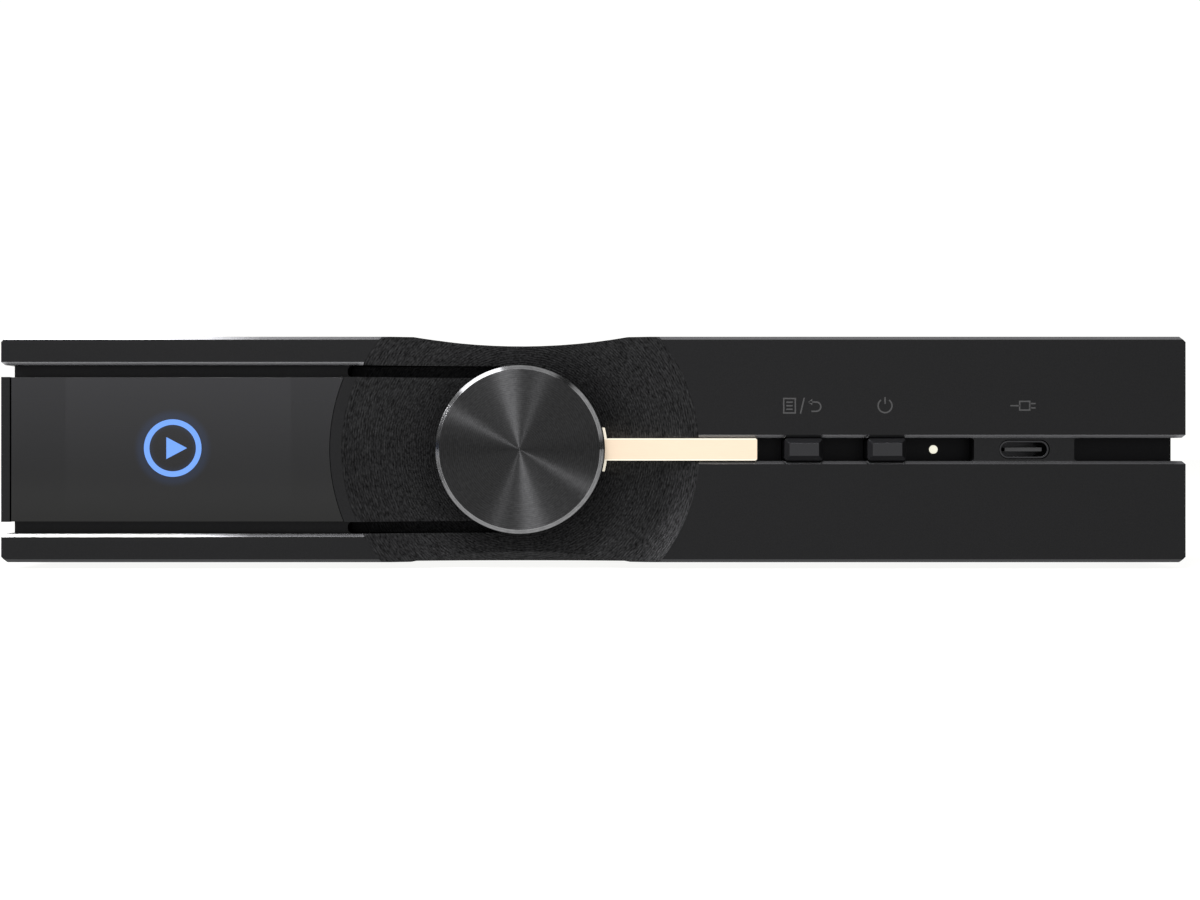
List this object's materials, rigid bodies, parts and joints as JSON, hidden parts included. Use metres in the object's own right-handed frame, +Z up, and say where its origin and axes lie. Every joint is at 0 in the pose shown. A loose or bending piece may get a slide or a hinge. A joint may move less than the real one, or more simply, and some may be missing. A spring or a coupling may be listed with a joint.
{
  "type": "digital audio player",
  "caption": "Low wide aluminium network audio player: display window on the left, scooped dish with a turning push knob, inlaid bar, push buttons and a front USB-C socket, rear connectors.",
  "frame": {"origin": "under the middle of the whole object's box, on the plane that the feet rest on; the box runs from the knob's face to the tips of the rear sockets", "axes": "+X to the right seen from the front, +Y from the front to the rear, +Z up; the front faces -Y"},
  "size_m": [0.214, 0.1616, 0.042],
  "materials": {
    "anodised_case": "fine bead-blasted black anodising",
    "anodised_rear": "black anodised sheet",
    "knob_metal": "black anodised, spun face with a bright turned chamfer",
    "dark_glass": "dark tinted polished glass",
    "black_adhesive": "black foam tape",
    "display_panel": "unlit display panel",
    "dark_steel": "black coated steel sheet",
    "ribbon_film": "polyimide film",
    "champagne_metal": "champagne gold anodising, fine satin",
    "zinc_steel": "zinc plated",
    "nylon_white": "natural nylon",
    "button_metal": "black anodised, satin with bevelled edges",
    "black_plastic": "moulded, fine texture",
    "switch_stem_plastic": "moulded",
    "clear_light_pipe": "frosted clear acrylic",
    "led_light": "lit, warm white",
    "circuit_board": "green solder mask on laminate",
    "heatsink_black": "black anodised fins",
    "tinned_can": "tin plated sheet",
    "capacitor_sleeve": "shrink sleeve with an aluminium top",
    "ferrite": "moulded ferrite",
    "chip_epoxy": "moulded epoxy",
    "brass_parts": "turned",
    "foot_rubber": "soft moulded rubber",
    "black_screws": "black oxide steel",
    "gold_contacts": "gold plated",
    "blue_tongue_plastic": "moulded",
    "white_insulator": "moulded",
    "red_insulator": "moulded"
  },
  "bodies": {
    "case": {"front_panel": "anodised_case", "top_cover": "anodised_case", "bottom_tray": "anodised_case", "rear_panel": "anodised_rear", "display_window": "dark_glass", "window_gasket": "black_adhesive", "display_module": "display_panel", "display_bracket": "dark_steel", "display_ribbon": "ribbon_film", "accent_bar": "champagne_metal", "encoder_body": "zinc_steel", "encoder_nut": "zinc_steel", "menu_switch": "black_plastic", "power_switch": "black_plastic", "status_light_pipe": "clear_light_pipe", "status_led": "led_light", "usb_c_shell": "zinc_steel", "usb_c_tongue": "black_plastic", "usb_c_board": "circuit_board", "front_board": "circuit_board", "front_ribbon": "ribbon_film", "main_board": "circuit_board", "processor_module": "circuit_board", "heatsink": "heatsink_black", "shield_can": "tinned_can", "power_capacitors": "capacitor_sleeve", "inductors": "ferrite", "clock_crystals": "tinned_can", "audio_chips": "chip_epoxy", "board_standoffs": "brass_parts", "board_screws": "zinc_steel", "rubber_feet": "foot_rubber", "cover_screws": "black_screws", "front_panel_screws": "zinc_steel", "rear_panel_screws": "black_screws", "lan_socket": "zinc_steel", "lan_contacts": "gold_contacts", "usb_host_shells": "zinc_steel", "usb_host_tongues": "blue_tongue_plastic", "optical_socket": "black_plastic", "rca_housing": "black_plastic", "rca_barrels": "gold_contacts", "line_left_insulator": "white_insulator", "line_right_insulator": "red_insulator", "coax_insulator": "black_plastic", "balanced_socket": "black_plastic", "balanced_nut": "brass_parts", "dc_inlet": "black_plastic", "dc_pin": "tinned_can"},
    "knob_slide": {"encoder_plunger": "nylon_white"},
    "knob": {"knob_cap": "knob_metal", "knob_set_screw": "zinc_steel", "encoder_shaft": "zinc_steel"},
    "menu_key": {"menu_button": "button_metal", "menu_switch_stem": "switch_stem_plastic"},
    "power_key": {"power_button": "button_metal", "power_switch_stem": "switch_stem_plastic"},
    "optical_flap": {"optical_shutter": "black_plastic"}
  },
  "joints": [
    {"name": "knob_push", "type": "slide", "parent": "case", "child": "knob_slide", "axis": [0, 1, 0], "range_m": [0, 0.0005], "stiffness_N_per_m": 4000, "springref_m": -0.0002},
    {"name": "knob_turn", "type": "hinge", "parent": "knob_slide", "child": "knob", "pos_m": [-0.0132, -0.07675, 0.0216], "axis": [0, 1, 0], "continuous": true},
    {"name": "menu_press", "type": "slide", "parent": "case", "child": "menu_key", "axis": [0, 1, 0], "range_m": [0, 0.0005], "stiffness_N_per_m": 3000, "springref_m": -0.0003},
    {"name": "power_press", "type": "slide", "parent": "case", "child": "power_key", "axis": [0, 1, 0], "range_m": [0, 0.0005], "stiffness_N_per_m": 3000, "springref_m": -0.0003},
    {"name": "optical_flap_open", "type": "hinge", "parent": "case", "child": "optical_flap", "pos_m": [0.012, 0.06925, 0.0185], "axis": [1, 0, 0], "range_deg": [-80, 0], "stiffness_Nm_per_rad": 0.0004, "springref_deg": 28.65}
  ]
}
